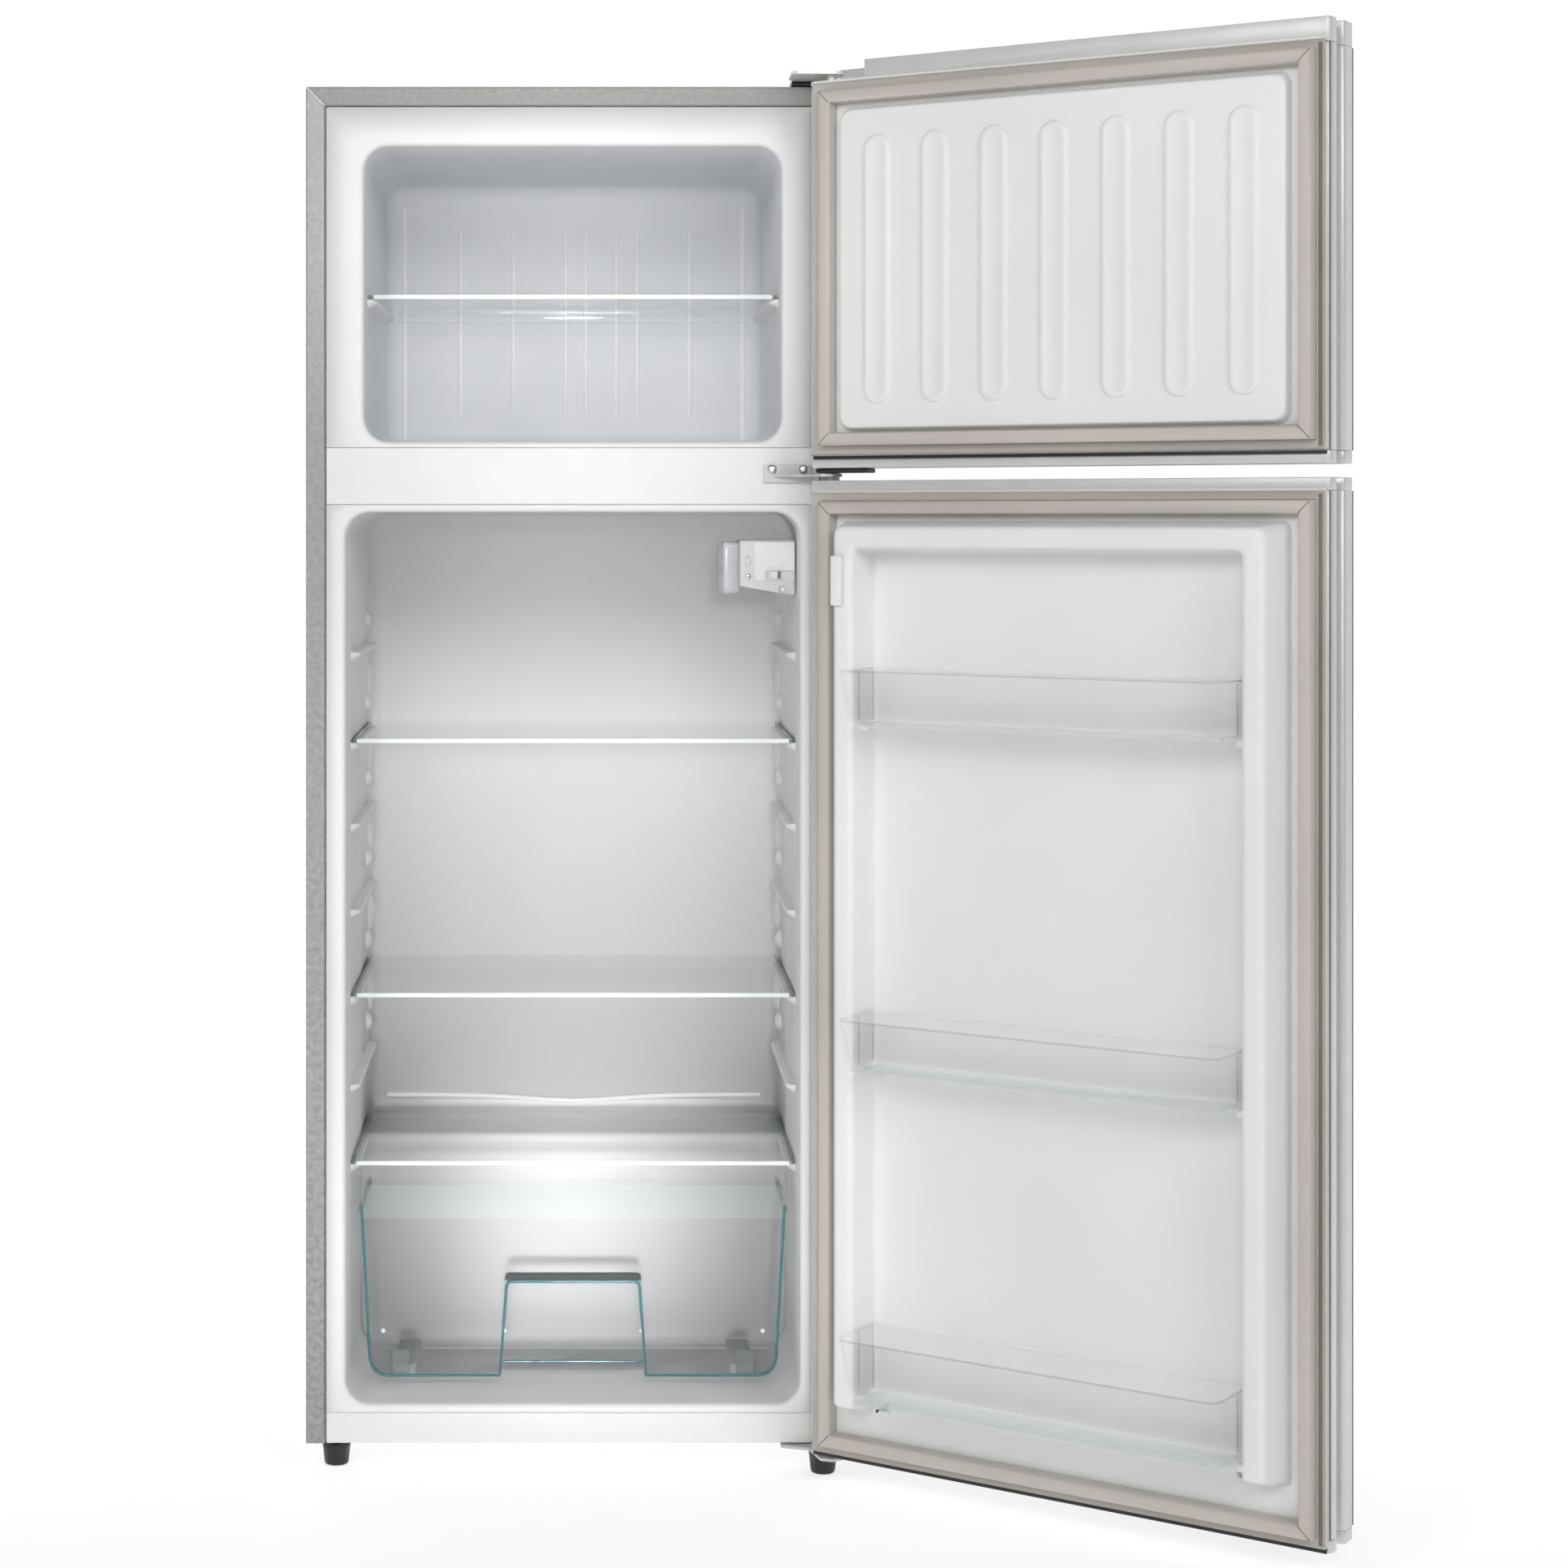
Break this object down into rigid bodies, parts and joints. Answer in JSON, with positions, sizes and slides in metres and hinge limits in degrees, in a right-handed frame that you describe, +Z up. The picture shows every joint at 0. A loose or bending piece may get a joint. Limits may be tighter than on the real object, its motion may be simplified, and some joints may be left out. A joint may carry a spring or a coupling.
{
  "type": "top freezer refrigerator",
  "caption": "Upright two-door refrigerator with a freezer on top, open doors, glass shelves, a crisper drawer and door bins.",
  "frame": {"origin": "middle of the whole object's bounding box with both doors open, at floor level under the feet", "axes": "+X to the right seen from the front, +Y to the back, +Z up"},
  "size_m": [0.9912, 0.8592, 1.43],
  "materials": {
    "steel_paint": "satin",
    "liner_white": "satin",
    "trim_white": "gloss",
    "zinc": "satin",
    "black_plastic": "satin",
    "black_enamel": "gloss",
    "copper": "satin",
    "foam": "matte",
    "gasket": "satin",
    "door_paint": "satin",
    "cap_grey": "satin",
    "glass": "gloss",
    "clear_plastic": "gloss",
    "lamp_plastic": "satin",
    "lamp_glass": "gloss",
    "screw_steel": "gloss",
    "rubber": "matte"
  },
  "bodies": {
    "cabinet": {"outer_cabinet": "steel_paint", "back_panel": "steel_paint", "base_pan": "zinc", "compressor_plate": "zinc", "cabinet_foam": "foam", "freezer_liner": "liner_white", "fridge_liner": "liner_white", "mullion_cover": "trim_white", "bottom_rail": "trim_white", "evaporator_plate": "zinc", "condenser_coil": "black_enamel", "compressor": "black_enamel", "compressor_grommet_1": "rubber", "compressor_grommet_2": "rubber", "compressor_grommet_3": "rubber", "compressor_grommet_4": "rubber", "starter_relay_cover": "black_plastic", "filter_drier": "copper", "discharge_pipe": "copper", "drip_tray": "black_plastic", "cord_gland": "rubber", "thermostat_housing": "trim_white", "lamp_cover": "lamp_plastic", "lamp_bulb": "lamp_glass", "top_hinge": "zinc", "top_hinge_spacer": "black_plastic", "middle_hinge": "zinc", "bottom_hinge": "zinc", "top_hinge_screw_1": "screw_steel", "top_hinge_screw_2": "screw_steel", "middle_hinge_screw_1": "screw_steel", "middle_hinge_screw_2": "screw_steel"},
    "front_foot_left": {"front_foot_left": "black_plastic"},
    "front_foot_right": {"front_foot_right": "black_plastic"},
    "thermostat_knob": {"thermostat_knob": "trim_white"},
    "door_switch": {"door_switch_plunger": "trim_white"},
    "freezer_shelf": {"freezer_shelf": "glass", "freezer_shelf_trim": "trim_white"},
    "shelf_upper": {"shelf_upper": "glass"},
    "shelf_lower": {"shelf_lower": "glass"},
    "crisper_cover": {"crisper_cover": "glass"},
    "crisper_drawer": {"crisper_drawer": "clear_plastic"},
    "freezer_door": {"freezer_door_skin": "door_paint", "freezer_door_foam": "foam", "freezer_door_liner": "liner_white", "freezer_door_gasket": "gasket", "freezer_door_cap_top": "cap_grey", "freezer_door_cap_bottom": "cap_grey", "freezer_door_grip": "cap_grey"},
    "fridge_door": {"fridge_door_skin": "door_paint", "fridge_door_foam": "foam", "fridge_door_liner": "liner_white", "fridge_door_gasket": "gasket", "fridge_door_cap_top": "cap_grey", "fridge_door_cap_bottom": "cap_grey", "fridge_door_grip": "cap_grey", "switch_striker": "trim_white"},
    "bin_upper": {"door_bin_upper": "clear_plastic"},
    "bin_middle": {"door_bin_middle": "clear_plastic"},
    "bin_lower": {"door_bin_lower": "clear_plastic"}
  },
  "joints": [
    {"name": "freezer_door_hinge", "type": "hinge", "parent": "cabinet", "child": "freezer_door", "pos_m": [0.0377, -0.0882, 1.227], "axis": [0, 0, 1], "range_deg": [-145.4, 0]},
    {"name": "fridge_door_hinge", "type": "hinge", "parent": "cabinet", "child": "fridge_door", "pos_m": [0.0377, -0.0882, 0.523], "axis": [0, 0, 1], "range_deg": [-145.4, 0]},
    {"name": "bin_upper_lift", "type": "slide", "parent": "fridge_door", "child": "bin_upper", "axis": [0, 0, 1], "range_m": [0, 0.05]},
    {"name": "bin_middle_lift", "type": "slide", "parent": "fridge_door", "child": "bin_middle", "axis": [0, 0, 1], "range_m": [0, 0.05]},
    {"name": "bin_lower_lift", "type": "slide", "parent": "fridge_door", "child": "bin_lower", "axis": [0, 0, 1], "range_m": [0, 0.05]},
    {"name": "freezer_shelf_slide", "type": "slide", "parent": "cabinet", "child": "freezer_shelf", "axis": [0, -1, 0], "range_m": [0, 0.3]},
    {"name": "shelf_upper_slide", "type": "slide", "parent": "cabinet", "child": "shelf_upper", "axis": [0, -1, 0], "range_m": [0, 0.3]},
    {"name": "shelf_lower_slide", "type": "slide", "parent": "cabinet", "child": "shelf_lower", "axis": [0, -1, 0], "range_m": [0, 0.3]},
    {"name": "crisper_cover_slide", "type": "slide", "parent": "cabinet", "child": "crisper_cover", "axis": [0, -1, 0], "range_m": [0, 0.25]},
    {"name": "crisper_slide", "type": "slide", "parent": "cabinet", "child": "crisper_drawer", "axis": [0, -1, 0], "range_m": [0, 0.15]},
    {"name": "thermostat_turn", "type": "hinge", "parent": "cabinet", "child": "thermostat_knob", "pos_m": [-0.0106, 0.0121, 0.915], "axis": [0, 0, 1], "range_deg": [-120, 120]},
    {"name": "door_switch_press", "type": "slide", "parent": "cabinet", "child": "door_switch", "axis": [0, -1, 0], "range_m": [-0.006, 0], "stiffness_N_per_m": 120, "springref_m": 0.004},
    {"name": "front_foot_left_turn", "type": "hinge", "parent": "cabinet", "child": "front_foot_left", "pos_m": [-0.4667, -0.0149, 0.015], "axis": [0, 0, 1], "range_deg": [-360, 360]},
    {"name": "front_foot_right_turn", "type": "hinge", "parent": "cabinet", "child": "front_foot_right", "pos_m": [0.0323, -0.0449, 0.015], "axis": [0, 0, 1], "range_deg": [-360, 360]}
  ]
}
